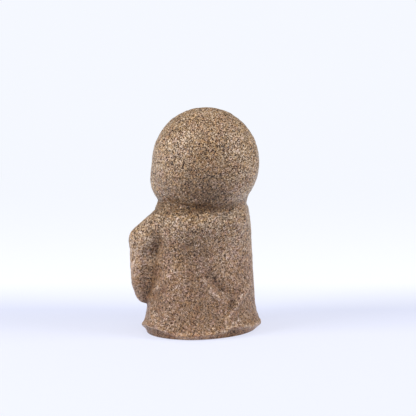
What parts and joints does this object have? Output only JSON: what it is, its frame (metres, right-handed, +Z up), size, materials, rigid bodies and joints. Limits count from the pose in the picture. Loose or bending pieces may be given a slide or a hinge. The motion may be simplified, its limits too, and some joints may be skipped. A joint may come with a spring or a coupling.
{
  "type": "stone jizo statue",
  "caption": "Small solid stone figure of a child-like monk with a round bald head, joined hands and a bell-shaped robe in low folds, standing on its own flat underside.",
  "frame": {"origin": "middle of the flat underside, on the surface that the statue stands on", "axes": "+Z up, the figure faces -Y, and its left side is at +X"},
  "size_m": [0.0924, 0.0764, 0.15],
  "materials": {
    "stone": "coarse unpolished warm brown stone with fine dark pits and pale grains"
  },
  "bodies": {
    "root": {"jizo_statue": "stone"}
  },
  "joints": []
}
